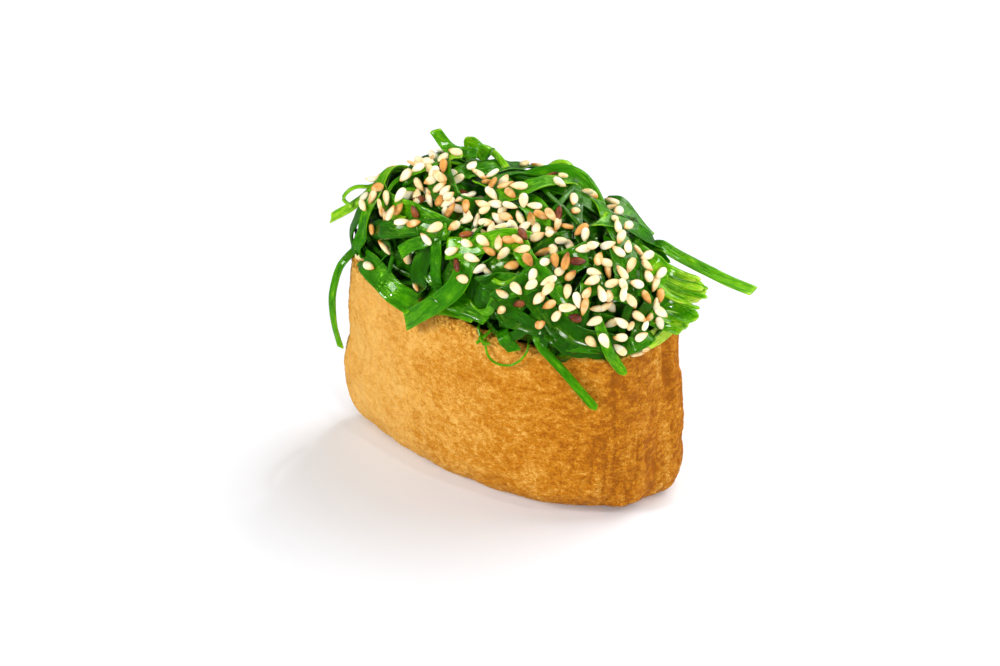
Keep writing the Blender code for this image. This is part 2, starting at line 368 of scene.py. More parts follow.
def pouch_rows(plan, heights, insets):
    """Rows of the pouch as (row, around, xyz): the plan let out by the bulge, drawn in by the turned
    foot and by each row's inset, and lifted to its height with the wave of the rim."""
    heights, insets = np.asarray(heights, float)[:, None], np.asarray(insets, float)[:, None]
    over = np.clip((heights - BULGE_HEIGHT) / (RIM_HEIGHT - BULGE_HEIGHT), 0, 1)
    under = np.clip(1 - heights / FOOT_HEIGHT, 0, 1)
    change = BULGE * (1 - over**1.3) - FOOT * (1 - np.sqrt(1 - under**FOOT_POWER)) - insets
    tip, side, blunt = change.T[:, :, None]
    x = plan[:, 0] * (RIM_LENGTH + tip + blunt) + (blunt - tip) / 2
    y = plan[:, 1] * (RIM_HALF_WIDTH + side)
    wave = RIM_TILT * x + RIM_WAVE * bumps(np.stack([x, y, 0 * x], -1), 11)
    return np.stack([x, y, heights + wave * heights / RIM_HEIGHT], -1)


plan = leaf(AROUND)
print("plan of the rim, mm:", np.ptp(plan, axis=0) * [RIM_LENGTH, RIM_HALF_WIDTH])

# %% [markdown]
# ## The pouch: wall, lip and inside
# The wall goes up from the turned foot, over the round cut lip and a little way down inside, where
# the seaweed hides it. It is all one closed skin, so the same grid carries the whole of it.

# %% Rows of the pouch
WALL_ROWS, LIP_ROWS, INNER_ROWS = 104, 14, 16
lip = WALL / 2
turn = np.linspace(0, np.pi, LIP_ROWS)
wall_top = RIM_HEIGHT - lip - 0.3
heights = np.concatenate(
    [
        np.linspace(0, 1, WALL_ROWS) ** 1.15 * wall_top,
        RIM_HEIGHT - lip + lip * np.sin(turn),
        np.linspace(wall_top, RIM_HEIGHT - RECESS, INNER_ROWS),
    ]
)
insets = np.concatenate(
    [np.zeros(WALL_ROWS), lip * (1 - np.cos(turn)), WALL + np.linspace(0, 1, INNER_ROWS) ** 6]
)
skin = pouch_rows(plan, heights, insets)
on_lip = np.zeros(len(heights))
on_lip[WALL_ROWS : WALL_ROWS + LIP_ROWS] = np.sin(turn)
inner = np.zeros(len(heights))
inner[WALL_ROWS + LIP_ROWS // 2 :] = 1
print("grid of the pouch, rows and steps round:", skin.shape[:2])

# %% [markdown]
# ## The pouch: fried skin
# Frying blisters the skin and the sweet broth then lets it sag, so it has upright wrinkles, a pleat
# at the blunt end where the sheet is folded, and a fine grain. It could be sculpted by hand, but
# noise of a given size in mm and a few rounded ridges are enough and can be changed by their
# numbers. They move each point of the grid along the outward side of the wall. Grain finer than the
# grid is left to the material.

# %% Wrinkles and folds, in mm
x, y, z = np.moveaxis(skin, -1, 0)
around_step = np.roll(skin, -1, 1) - np.roll(skin, 1, 1)
outward = unit(np.stack([around_step[..., 1], -around_step[..., 0], 0 * x], -1))
right = eased((x - 12) / 14)  # 0 along the front, 1 toward the blunt end
tip = eased((-x - 24) / 8)  # 1 at the pointed end
blunt = x > 20
wrinkle = 0.3 * (1 + right) * bumps(skin, (5, 5, 22), 1)
crease = 1 - np.abs(bumps(skin, (1.8, 1.8, 9), 2))
upright = -0.35 * right * crease**6
leathery = -0.17 * (1 - np.abs(bumps(skin, (1.5, 1.5, 1.1), 3))) ** 4
grain = 0.07 * bumps(skin, 0.8, 4)
pleat_place = np.where(x > 0, (y + 9 - 0.1 * z) / 2.6, 9)
pleat = 0.6 * right * (ridge(pleat_place - 1.6, 1) - ridge(pleat_place, 1))
dents = 0.7 * bumps(skin, (5.5, 5.5, 50), 5) + 0.45 * bumps(skin, (2.6, 2.6, 9), 9)
foot = dents * ridge(z - 2, 4)  # the pouch stands unevenly on its foot
sag = tip * (0.35 * ridge(z - 13, 3.5) - 0.6 * ridge(z - 21, 3))  # a fold across the pointed end
flap_height = eased((27.5 - z) / 3) * (0.3 + 0.7 * eased((z - 8) / 10))
flap = 0.5 * flap_height * (ridge(y - 1.5, 4.5) * blunt)  # the sheet folded over at the blunt end
seam = -0.7 * (ridge(y + 4.6, 0.8) * blunt) * eased((z - 19) / 4)  # the flap's edge
band = 0.2 * (ridge(y + 7.5, 1.6) * blunt)  # the stretched skin beside it
forms = wrinkle + upright + leathery + grain + pleat + foot + sag + flap + seam + band
# how deep each point lies in a crease, pleat or seam; the finish paints shade there
depth = np.clip(-(upright + leathery + seam + 0.5 * np.minimum(pleat, 0)) / 0.45, 0, 1)
print("wrinkles and folds, mm:", forms.min().round(2), forms.max().round(2))

# %% Relief of the wall and the cut rim
# The trim lets the blunt end out at its foot and draws it in toward the rim.
trim = eased((x - 24) / 8) * np.interp(z, (0, 4, 9, 20, 28), (0.4, 0.5, -0.1, -0.35, -0.55))
spongy = 0.35 * bumps(skin, 1.6, 6) + 0.35 * bumps(skin, 0.8, 7)
relief = forms * np.clip(z / 1.5, 0, 1) + trim  # nothing at the table
relief = relief + 0.35 * spongy * eased((z - RIM_HEIGHT + 2.2) / 0.8)
relief *= (1 - inner)[:, None]
skin = skin + outward * (relief + 0.4 * spongy * on_lip[:, None] ** 0.5)[..., None]
skin[..., 2] += spongy * on_lip[:, None]
crumbly = eased((z - RIM_HEIGHT + 1.9 + 0.7 * bumps(skin, 1.5, 15)) / 0.9) * (1 - inner)[:, None]
print("skin relief, mm:", relief.min().round(2), relief.max().round(2))

# %% [markdown]
# ## Fried tofu finish
# Tofu fried in oil and simmered in sweet broth has a satin skin, gold at the pointed end and orange
# brown at the blunt end, with brown flecks where it blistered. It could be painted on an image, but
# noise in Object coordinates has no seams and its sizes can be given in millimetres: patches of
# 7 mm and flecks of 1.4 mm. The creases, the pale band at the folded end and the sponge of the cut
# rim come from attributes that were measured on the grid. The creases and the pores of the rim get
# painted shade.

# %% Fried tofu
fried_tofu, tree, shader = new_material(
    "fried_tofu_skin",
    Roughness=0.5,
    Specular_IOR_Level=0.25,
    Specular_Tint=(1.0, 0.7, 0.3, 1.0),
    Subsurface_Weight=0.1,
    Subsurface_Scale=1.5 * MM,
    Subsurface_Radius=(1.0, 0.5, 0.2),
)
place = add_node(tree, "ShaderNodeTexCoord", output="Object")
across = add_node(tree, "ShaderNodeSeparateXYZ", (place,), "X")
patches = add_node(tree, "ShaderNodeTexNoise", {"Vector": place, "Scale": per_mm(7.0)})
drawn_out = add_node(tree, "ShaderNodeMapping", {"Vector": place, "Scale": (0.9, 0.9, 1.1)})
fleck_inputs = {"Vector": drawn_out, "Scale": per_mm(1.4), "Detail": 3.0, "Roughness": 1.0}
flecks = add_node(tree, "ShaderNodeTexNoise", fleck_inputs)
band_share, crease_shade_share, rim_share = (
    add_node(tree, "ShaderNodeAttribute", output="Fac", attribute_name=name)
    for name in ("band", "depth", "rim")
)
fleck_tone = add_node(tree, "ShaderNodeMapRange", (flecks, 0.25, 0.75, -0.7, 0.7))
contrast = add_node(tree, "ShaderNodeMapRange", (across, -0.03, 0.02, 0.32, 0.8))
fleck_change = add_node(tree, "ShaderNodeMath", (fleck_tone, contrast), operation="MULTIPLY")
tone = add_node(tree, "ShaderNodeMapRange", (across, -0.036, 0.024, 0.15, 0.71))
tone = toned(tree, tone, [(patches, 0.3, 0.7, -0.08, 0.08)])
tone = add_node(tree, "ShaderNodeMath", (tone, fleck_change))
tone = toned(
    tree,
    tone,
    [
        (across, -0.036, -0.030, 0.22, 0.0),  # darker again at the very tip
        (band_share, 0.1, 0.9, 0.0, -0.28),
        # painted shade in the creases
        (crease_shade_share, 0.1, 0.9, 0.0, 0.26),
    ],
)

# %% Colours of the skin and the crumb
SKIN_STOPS = (  # from lightly to deeply fried
    (0.0, "#e9b862"),
    (0.2, "#e5ae55"),
    (0.38, "#d7993c"),
    (0.54, "#c5801e"),
    (0.67, "#c0770f"),
    (0.84, "#ad6409"),
    (1.0, "#9c5608"),
)
colour = add_node(tree, "ShaderNodeValToRGB", (tone,), stops=SKIN_STOPS)
pores = add_node(tree, "ShaderNodeTexNoise", {"Vector": place, "Scale": per_mm(0.6), "Detail": 3.0})
pores = add_node(tree, "ShaderNodeMapRange", (pores, 0.4, 0.62, 0.0, 1.0))
# The darker colour in the pores is painted shade.
crumb_inputs = {0: pores, 6: "#a2640c", 7: "#ecb34c"}  # factor, in the pores, on the crumb
crumb = add_node(tree, "ShaderNodeMix", crumb_inputs, 2, data_type="RGBA")
rim_mix = add_node(tree, "ShaderNodeMapRange", (rim_share, 0.25, 0.6, 0.0, 0.95))
colour = add_node(tree, "ShaderNodeMix", {0: rim_mix, 6: colour, 7: crumb}, 2, data_type="RGBA")
relief_inputs = {"Height": flecks, "Strength": 0.8, "Distance": 0.5 * MM}
tree.links.new(colour, shader.inputs["Base Color"])
tree.links.new(add_node(tree, "ShaderNodeBump", relief_inputs), shader.inputs["Normal"])
print("fried tofu:", len(tree.nodes), "nodes")

# %% Make the pouch
pouch = add_tubes(
    "fried_tofu_pouch",
    skin[None],
    fried_tofu,
    {
        "depth": depth,
        "rim": np.maximum(on_lip[:, None], crumbly) * (0.75 + 0.35 * bumps(skin, 1.4, 8)),
        "band": ridge(y + 7.2, 1.8) * blunt,
    },
)
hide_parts("tofu_pouch")

# %% [markdown]
# ## The salad: a core under the ribbons
# Only the outer layers of the salad can be seen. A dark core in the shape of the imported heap, drawn
# in by a few millimetres, carries them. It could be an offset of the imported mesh, but a formula
# also gives a flat chart of the heap on which the ribbons can be laid out: a place on the chart is
# a direction from the top and a distance down the surface.

# %% Chart of the heap
HEAP_HEIGHT, HEAP_LEDGE = 24.0, 5.0
CREST_AT_TIP = 0.95  # the crest's share of the heap's height there
CREST_STEPS = (  # where along X that share changes: start and run in mm, change
    (-34, 8, 0.20),
    (-16, 13, -0.20),
    (-2, 9, 0.09),
    (10, 9, -0.12),
    (20, 7, -0.32),
)
SALAD_DEPTH = 3.4  # thickness of the layer of ribbons over the core
TOP = np.array([0.0, 1.0])  # the middle of the heap in plan
ledge = pouch_rows(plan, [RIM_HEIGHT], [0.2])[0]
ledge_reach = np.linalg.norm(ledge[:, :2] - TOP, axis=1)
ledge_angle = np.unwrap(np.arctan2(ledge[:, 1] - TOP[1], ledge[:, 0] - TOP[0]))
turn = np.linspace(0, np.pi / 2, 60)
profile = np.concatenate(  # share of the reach, share of the rise, share of the skirt below
    [
        np.stack([np.sin(turn), np.sqrt(1 - np.sin(turn) ** 2.4), 0 * turn], -1),
        np.stack([np.ones(12), np.zeros(12), np.linspace(0, 1, 14)[2:]], -1),
    ]
)
mean_size = np.array([21.0, HEAP_HEIGHT - HEAP_LEDGE, 4.5])
profile_run = np.concatenate(
    [[0], np.cumsum(np.linalg.norm(np.diff(profile * mean_size, axis=0), axis=1))]
)
CHART = profile_run[-1]  # mean distance from the top to the rim over the surface, mm


def crest(x):
    """The share of the heap's height along X, as smooth steps from the tip to the blunt end."""
    steps = (change * eased((x - start) / run) for start, run, change in CREST_STEPS)
    return CREST_AT_TIP + sum(steps)


def chart_size(angle):
    """The distance from the top to the rim on the chart in a direction."""
    turned = (angle - ledge_angle[0]) % (2 * np.pi) + ledge_angle[0]
    angles = np.append(ledge_angle, ledge_angle[0] + 2 * np.pi)
    reach = np.interp(turned, angles, np.append(ledge_reach, ledge_reach[0]))
    return CHART * (0.45 + 0.55 * reach / mean_size[0]), reach


def heap_point(chart, inside=SALAD_DEPTH):
    """The place on the heap, drawn in by some mm, for places (x, y) on the chart."""
    angle = np.arctan2(chart[..., 1], chart[..., 0])
    size, reach = chart_size(angle)
    run = np.linalg.norm(chart, axis=-1) / size * CHART
    share, rise, skirt = (np.interp(run, profile_run, axis) for axis in profile.T)
    out = np.maximum(reach - 0.8 * inside, 2) * share * (1 - 0.1 * skirt)
    x, y = TOP[0] + np.cos(angle) * out, TOP[1] + np.sin(angle) * out
    up = (HEAP_HEIGHT - HEAP_LEDGE - 0.9 * inside) * rise * crest(x)
    wave = RIM_TILT * x
    lift = HEAP_LEDGE - 0.1 * inside - (HEAP_LEDGE - 1.2) * skirt
    return np.stack([x, y, RIM_HEIGHT + wave + lift + up], -1)


def heap_normal(chart, step=0.8):
    """The outward normal there, from the cross product of two short steps on the chart."""
    sides = [heap_point(chart + d) - heap_point(chart - d) for d in np.eye(2) * step]
    return unit(np.cross(*sides))


print("chart, mm from the top to the rim:", CHART.round(1))

# %% Make the core
angles = -np.pi + np.arange(160) * 2 * np.pi / 160
distances = np.linspace(0.02, 1.0, 70)[::-1]
direction = np.stack([np.cos(angles), np.sin(angles)], -1)
chart = direction[None] * (chart_size(angles)[0] * distances[:, None])[..., None]
core = heap_point(chart)
core += heap_normal(chart) * (1.0 * bumps(core, 3.5, 11) + 0.5 * bumps(core, 1.3, 12))[..., None]
foot_ring = core[:1] * [0.93, 0.9, 0] + [0, 0, RIM_HEIGHT - RECESS + 0.5]
core = np.concatenate([foot_ring, core])

# %% [markdown]
# ## Seaweed finish
# Wakame stems are cut thin, blanched and dressed with oil. They are wet and light gets into them:
# thick pieces are nearly black and the cut ends are lime, and pieces deep in the heap are darkened
# by painted shade. Glass-like transmission would be slow and would show the core, so a glossy coat
# over a soft subsurface colour gives the same look.
# Fine fibres run along every ribbon, as noise in the ribbon's own UV map, drawn out along its
# length. The dressing lies in drops and films of about 2 mm, so the coat comes and goes.

# %% Seaweed
wet_seaweed, tree, shader = new_material(
    "wet_seaweed",
    Specular_IOR_Level=0.5,
    Specular_Tint=(0.5, 1.0, 0.05, 1.0),
    Coat_IOR=1.45,
    Coat_Roughness=0.06,
    Subsurface_Weight=0.3,
    Subsurface_Scale=1.0 * MM,
    Subsurface_Radius=(0.5, 1.0, 0.05),
)
uv = add_node(tree, "ShaderNodeUVMap", output="UV", uv_map="uv")
place = add_node(tree, "ShaderNodeTexCoord", output="Object")
fibres, streaks = (
    add_node(
        tree,
        "ShaderNodeTexNoise",
        {
            "Vector": add_node(tree, "ShaderNodeMapping", {"Vector": uv, "Scale": waves}),
            "Scale": 1.0,
            "Detail": 3.0,
        },
    )
    for waves in ((3, 30, 1), (1.2, 7, 1))  # along and round each ribbon
)
film, wetness, drops = (
    add_node(tree, "ShaderNodeTexNoise", {"Vector": place, "Scale": per_mm(size), "Detail": detail})
    for size, detail in ((0.7, 4.0), (2.5, 2.0), (2.0, 2.0))
)
own_shade, cut_end = (
    add_node(tree, "ShaderNodeAttribute", output="Fac", attribute_name=name)
    for name in ("shade", "tip")
)
tone = toned(
    tree,
    own_shade,
    [
        (fibres, 0.3, 0.7, -0.13, 0.13),
        (streaks, 0.3, 0.7, -0.17, 0.17),
        (edge_share(tree, uv), 0.5, 1.0, 0.0, 0.16),  # light comes through the thin edges
        (cut_end, 0.0, 1.0, 0.0, 0.22),
    ],
)

# %% Colours, fibres and wet film
SEAWEED_STOPS = (  # from deep in the heap to the cut ends
    (0.0, "#1b5600"),
    (0.2, "#236a00"),
    (0.42, "#307f00"),
    (0.64, "#58a404"),
    (0.85, "#92cc1a"),
    (1.0, "#c4e650"),
)
fibre_height = add_node(tree, "ShaderNodeMapRange", (fibres, 0.0, 1.0, 0.0, 1.5))
film_height = add_node(tree, "ShaderNodeMapRange", (film, 0.0, 1.0, 0.0, 0.6))
height = add_node(tree, "ShaderNodeMath", (fibre_height, film_height))
relief_inputs = {"Height": height, "Strength": 0.6, "Distance": 0.3 * MM}
for socket, source in (
    ("Base Color", add_node(tree, "ShaderNodeValToRGB", (tone,), stops=SEAWEED_STOPS)),
    ("Normal", add_node(tree, "ShaderNodeBump", relief_inputs)),
    ("Roughness", add_node(tree, "ShaderNodeMapRange", (wetness, 0.35, 0.65, 0.08, 0.26))),
    ("Coat Weight", add_node(tree, "ShaderNodeMapRange", (drops, 0.42, 0.62, 0.4, 0.9))),
):
    tree.links.new(source, shader.inputs[socket])
print("wet seaweed:", len(tree.nodes), "nodes")

# %% The core's surface
core_shade = 0.2 + 0.2 * bumps(core, 3, 13)
heap_core = add_tubes("seaweed_core", core[None], wet_seaweed, {"shade": core_shade, "tip": 0.0})
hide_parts("seaweed_salad")

# %% [markdown]
# ## Seaweed ribbons
# A ribbon is a flat tube with rounded edges: thin, a little dished, ruffled along its edges and cut
# off square or slanting at its ends. It could be a curve with a bevel, but a bevelled curve can't
# change its section along the way, and these do. All the ribbons of one object are made in one
# go, as an array of (ribbon, row, around).

# %% Section of a ribbon
ROWS, LOOP = 46, 14
row_place = np.concatenate([[0, 0.004], np.linspace(0.02, 0.98, ROWS - 4), [0.996, 1]])
END_THICKNESS = 0.55  # of the thickness, where the cut edges are rounded
SLANTED = 0.12  # share of the length over which a slanting cut fades


def along_noise(count, waves, seed):
    """Smooth noise from -1 to 1 along each ribbon, (ribbon, row), with that many waves."""
    points = np.zeros((count, ROWS, 3))
    points[..., 0] = row_place * waves
    points[..., 1] = np.arange(count)[:, None] * 5.3
    return bumps(points, 1.0, seed)


def ribbons(route, normal, width, thickness, roll, gutter, cut, ruffle, seed=1):
    """Tubes round the routes. At a share a across (-1 to 1) the section stands off the middle by
    gutter (a^2 - 1/3) times the width, its edges lift by the ruffle, and its ends slant by the cut."""
    count = len(route)
    tangent = unit(np.gradient(route, axis=1))
    side = unit(np.cross(normal, tangent))
    up = np.cross(tangent, side)
    roll = roll[..., None]
    side, up = side * np.cos(roll) + up * np.sin(roll), up * np.cos(roll) - side * np.sin(roll)
    turn = np.arange(LOOP) * 2 * np.pi / LOOP
    a = np.sign(np.cos(turn)) * np.abs(np.cos(turn)) ** 0.7
    b = np.sign(np.sin(turn)) * np.abs(np.sin(turn)) ** 0.7
    end = np.ones(ROWS)
    end[[0, -1]] = END_THICKNESS
    half = (width / 2)[..., None]
    across = half * a * (0.6 + 0.4 * end[:, None]) ** 0.3
    one_edge, other_edge = (along_noise(count, 5, seed + k)[..., None] for k in (0, 1))
    edges = np.where(a > 0, one_edge, other_edge)
    dish = gutter[:, None, None] * 2 * half * (a**2 - 1 / 3) + ruffle[:, None, None] * edges * a**2
    lift = thickness[:, None, None] / 2 * b * end[:, None] + dish
    slant = cut[:, :1] * (1 - row_place / SLANTED).clip(0)
    slant = slant + cut[:, 1:] * (1 - (1 - row_place) / SLANTED).clip(0)
    slide = slant[..., None] * across
    return (
        route[:, :, None]
        + side[:, :, None] * across[..., None]
        + up[:, :, None] * lift[..., None]
        + tangent[:, :, None] * slide[..., None]
    )


def tip_share(count, reach=0.05):
    """1 at the cut ends of each ribbon, falling to 0 over a share of its length."""
    near = np.minimum(row_place, 1 - row_place)
    return np.broadcast_to(np.clip(1 - near / reach, 0, 1)[None, :, None], (count, ROWS, LOOP))


print("points of a ribbon:", ROWS * LOOP)

# %% [markdown]
# ## The heap of ribbons
# Ribbons fall on a heap one after another and each rests on those below. A cloth simulation could
# pile them, but it is slow and hard to steer. Instead a height map on the chart holds the thickness
# so far. Each new ribbon takes the emptiest of a few random routes, lies over the highest places
# below it as a stiff strip does, and is then added to the map.

# %% The height map
CELL = 0.5
HALF_CHART = 52.0
cells = int(2 * HALF_CHART / CELL)
pile = np.zeros((cells, cells))
grid = (np.indices((cells, cells)).transpose(1, 2, 0) + 0.5) * CELL - HALF_CHART
wanted = SALAD_DEPTH - 1.4 + 0.8 * bumps(np.dstack([grid, grid[..., :1] * 0]), 9, 21)
wanted -= 0.5 * eased((-grid[..., 0] - 12) / 10)  # thinner at the tip and over the back of the crest
wanted -= 1.3 * eased((grid[..., 1] - 1) / 5) * eased((grid[..., 0] + 16) / 6)


def cell_of(chart):
    """The height map's cell at each place on the chart."""
    index = ((chart + HALF_CHART) / CELL).astype(int).clip(0, cells - 1)
    return index[..., 0], index[..., 1]


def random_routes(count, length, width, straight):
    """Wandering routes on the chart: the heading drifts by smooth noise. Near the rim a route is
    turned to run along it: its share of the way there is eased to a limit that keeps it inside."""
    angle = random.uniform(0, 2 * np.pi, count)
    start = np.stack([np.cos(angle), np.sin(angle)], -1)
    start *= (chart_size(angle)[0] * np.sqrt(random.uniform(0, 0.95, count)))[:, None]
    heading = random.uniform(0, 2 * np.pi, count)[:, None]
    heading = heading + straight * along_noise(count, 2.2, random.integers(1, 10**6))
    step = np.stack([np.cos(heading), np.sin(heading)], -1) * np.diff(row_place, prepend=0)[:, None]
    route = start[:, None] + np.cumsum(step * length, axis=1)
    route -= route.mean(axis=1, keepdims=True) - start[:, None]
    size = chart_size(np.arctan2(route[..., 1], route[..., 0]))[0]
    share = np.linalg.norm(route, axis=-1) / size
    knee = 0.84 - 0.45 * width / size
    held = np.where(share > knee, knee + 0.14 * np.tanh((share - knee) / 0.14), share)
    return route * (held / np.maximum(share, 1e-6))[..., None]


def spread(route, width, count):
    """Places across a route on the chart, (row, across, xy)."""
    step = unit(np.gradient(route, axis=0))
    side = np.stack([-step[:, 1], step[:, 0]], -1)
    across = np.linspace(-0.5, 0.5, count)[None, :, None] * width
    return route[:, None] + side[:, None] * across


def smoothed(values, reach):
    """Values along a ribbon averaged with a window of rows, with the ends repeated."""
    window = np.hanning(2 * reach + 3)[1:-1]
    padded = np.pad(values, reach, mode="edge")
    return np.convolve(padded, window / window.sum(), mode="valid")


def highest(values, reach):
    """The highest value within a reach of rows either way."""
    padded = np.pad(values, reach, mode="edge")
    return np.max([padded[k : k + len(values)] for k in range(2 * reach + 1)], axis=0)


print("thickness of ribbons wanted, mm:", wanted.min().round(2), "to", wanted.max().round(2))

# %% Lay the ribbons
BENT = 0.22  # share of a ribbon's length over which a lifted or tucked end bends
laid = []


def lay(route, width, thickness, roll, ends, shade):
    """Rests a ribbon on the pile and adds it to the map. An end with a negative lift is tucked in."""
    reach = int(np.clip(2.0 / max(np.linalg.norm(route[0] - route[-1]) / ROWS, 0.2), 2, 8))
    below = pile[cell_of(spread(route, width, 5))].max(axis=1)
    rest = np.maximum(smoothed(highest(below, reach), reach), below - 0.3)
    rest = smoothed(rest, 2) + thickness / 2 + 0.22 * width * np.abs(np.sin(roll))
    first, last = (1 - row_place / BENT).clip(0) ** 2, (1 - (1 - row_place) / BENT).clip(0) ** 2
    lift = np.maximum(ends[0] * first + ends[1] * last, -rest)
    spots = cell_of(spread(route, width, 9))
    pile[spots] = np.maximum(pile[spots], (rest + lift.clip(max=0) + thickness / 2)[:, None])
    laid.append((route, rest + lift, width, thickness, roll, shade))


KINDS_OF_CUT = ((0.7, 1.4), (1.6, 3.4), (3.6, 5.4))  # widths of threads, ribbons and leaves, mm
SHARES_OF_CUT = (0.35, 0.52, 0.13)
MOST_RIBBONS, ROUTES_TRIED, SMALLEST_GAP = 420, 14, 0.1
for number in range(MOST_RIBBONS):
    low, high = KINDS_OF_CUT[random.choice(3, p=SHARES_OF_CUT)]
    width = random.uniform(low, high)
    length = random.uniform(16, 58 if width < 3.6 else 30)
    routes = random_routes(ROUTES_TRIED, length, width, 1.6)
    gaps = [(wanted - pile)[cell_of(spread(route, width, 3))].mean() for route in routes]
    best = int(np.argmax(gaps))
    if gaps[best] < SMALLEST_GAP:
        break
    roll = random.uniform(0.3, 1.0) * along_noise(1, length / 14, number + 50)[0]
    if random.uniform() < 0.3:
        roll = roll + np.pi * eased((row_place - random.uniform(0.2, 0.7)) / 0.18)
    tucked = random.uniform(0, 1, 2) < 0.88
    ends = np.where(tucked, -1.4, random.uniform(0, 1, 2) ** 3 * min(width / 2, 1) * 1.4)
    # painted shade: the ribbons laid first lie lowest in the pile and are darker; the normal spread is
    # their own tone
    shade = 0.10 + 0.34 * number / 350 + random.normal(0, 0.13)
    lay(routes[best], width, random.uniform(0.4, 0.75), roll, ends, shade)
print("ribbons laid by the rule:", len(laid))

# %% [markdown]
# ## Ribbons with a place of their own
# Some ribbons can be picked out in the real salad: a bright strip between the seeds, dark leaves that
# hang to the rim, a lime one at the blunt end. A rule would put them anywhere, so they are laid
# last, each on its own route, and rest on the pile as the others do.

# %% Ribbons that stand out
PLACED = (  # width, thickness, shade, lift of both ends, route on the chart, in mm
    (5.4, 0.6, 0.30, (-1, -1), ((17, -11), (14, -17), (11.5, -21.5), (8, -25))),
    (2.6, 0.5, 0.16, (-1, -1), ((-5, -13), (-7.5, -17), (-10, -20), (-15, -22))),
    (4.4, 0.7, 0.50, (-1, 0.4), ((8, -14), (3.5, -15), (-1, -16), (-5.5, -16.5), (-11, -16))),
    (3.0, 0.7, 0.60, (-1, -1), ((7, -14), (9.5, -16), (12.5, -17), (17, -18.5), (21, -20), (26, -21))),
    (1.8, 0.7, 0.78, (-1, 0), ((-6, -27), (0, -28.5), (4.5, -27), (7, -23))),
    (3.4, 0.6, 0.42, (-1, -1), ((-2, -7), (3, -5), (6, -1), (10, 3))),
    (2.0, 0.8, 0.34, (-1, -1), ((-13, -12), (-13.5, -15), (-14, -18), (-15, -22))),
    (3.8, 0.6, 0.12, (-1, -1), ((-33, -5), (-27, -7.5), (-22, -9.5), (-16, -11.5), (-10, -13))),
    (2.6, 0.7, 0.46, (0, -1), ((-23, -13), (-19, -13.2), (-16, -13.5), (-11, -12.5))),
    (4.6, 0.6, 0.50, (0.4, -1), ((3, -23), (6, -22), (10.5, -20.5), (14, -17.5))),
    (4.6, 0.6, 0.38, (-1, -1), ((20, -6), (22, -9), (24, -11.5), (26, -15))),
    (2.4, 0.6, 0.52, (-1, -1), ((-20, 1), (-25, -3), (-32, -5), (-40, -5))),
    (3.0, 0.6, 0.40, (-1, -1), ((13, 2), (17, -3), (20, -6), (24, -9), (28, -12))),
    (4.2, 0.5, 0.36, (-1, -1), ((30, 1), (25, 0), (20, -3), (15, -5))),
    (3.2, 0.6, 0.20, (-1, -1), ((20, -25), (27, -24.5), (35, -21), (40, -15))),
    (3.6, 0.6, 0.20, (-1, -1), ((11, -20), (20, -22.5), (28, -22), (36, -18))),
    (3.0, 0.6, 0.24, (-1, -1), ((2, -24), (10, -25), (18, -25.5), (26, -24))),
    (2.4, 0.6, 0.30, (-1, -1), ((20, -15), (24, -20), (27, -25), (28, -31))),
    (2.8, 0.6, 0.28, (-1, -1), ((30, -10), (34, -15), (37, -20), (38, -25))),
    (3.6, 0.7, 0.95, (-1, -1), ((46, 2), (47.5, -5), (45, -12), (41, -18))),
)
for number, (width, thickness, shade, ends, points) in enumerate(PLACED, 700):
    roll = 0.3 * along_noise(1, 3, number)[0]
    lay(smooth_route(points, ROWS), width, thickness, roll, np.array(ends), shade)
print("ribbons laid:", len(laid), "mean thickness, mm:", pile[np.abs(pile) > 0].mean().round(2))

# %% [markdown]
# ## From the chart to meshes
# Each ribbon's route now goes from the flat chart to the heap, raised by where it rests. Ribbons
# deep in the pile get little light and those near the top get most, so each point has a shade by
# its height and by how far down it is buried. A finish of its own for each ribbon would do it too,
# but one attribute on the mesh needs a single material.

# %% Make the ribbons
chart, rest, width, thickness, roll, shade = (np.array(values) for values in zip(*laid))
normal = heap_normal(chart)
padded = np.pad(normal, ((0, 0), (3, 3), (0, 0)), mode="edge")
normal = unit(sum(padded[:, k : k + ROWS] for k in range(7)))
slope = eased((chart[..., 0] - 10) / 6) * eased((chart[..., 1] + 1) / 4)
rest = np.minimum(rest, 4.8 - 3.8 * slope)  # the back slope of the blunt end lies low
route = heap_point(chart) + normal * rest[..., None]
count = len(laid)
taper = 1 + 0.25 * along_noise(count, 3, 31) + 0.08 * along_noise(count, 11, 32)
tubes = ribbons(
    route,
    normal,
    width[:, None] * taper,
    thickness,
    roll,
    random.uniform(-0.06, 0.3, count),
    random.uniform(-0.7, 0.7, (count, 2)),
    random.uniform(0.2, 0.8, count) * np.minimum(width / 3, 1),
)
height_shade = 0.24 * ((tubes[..., 2] - 53) / 12).clip(-1, 1)  # painted shade: the lower, the darker the green
along = 0.14 * along_noise(count, 2.5, 77)[..., None]
buried = (pile[cell_of(chart)] - rest - 0.6).clip(0, 1.6) / 1.6  # how far down in the pile, darkened below as painted shade
shade = (shade[:, None, None] + height_shade + along - 0.2 * buried[..., None]).clip(-0.1, 1)
third = count // 3
for k, label in enumerate(("low", "middle", "top")):
    part = slice(k * third, count if k == 2 else (k + 1) * third)
    piece = add_tubes(
        f"seaweed_ribbons_{label}",
        tubes[part],
        wet_seaweed,
        {"shade": shade[part], "tip": 0.5 * tip_share(len(shade[part]))},
        stretch=5.0,
    )

# %% [markdown]
# ## Loose strips
# A few strips hang over the rim or stand clear of the heap, and each is a piece of its own in the
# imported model. They follow the same routes as there. Each is a ribbon of the same section as the
# heap's. Where one lies on the heap, rays find what is under it and it is raised to rest on that.

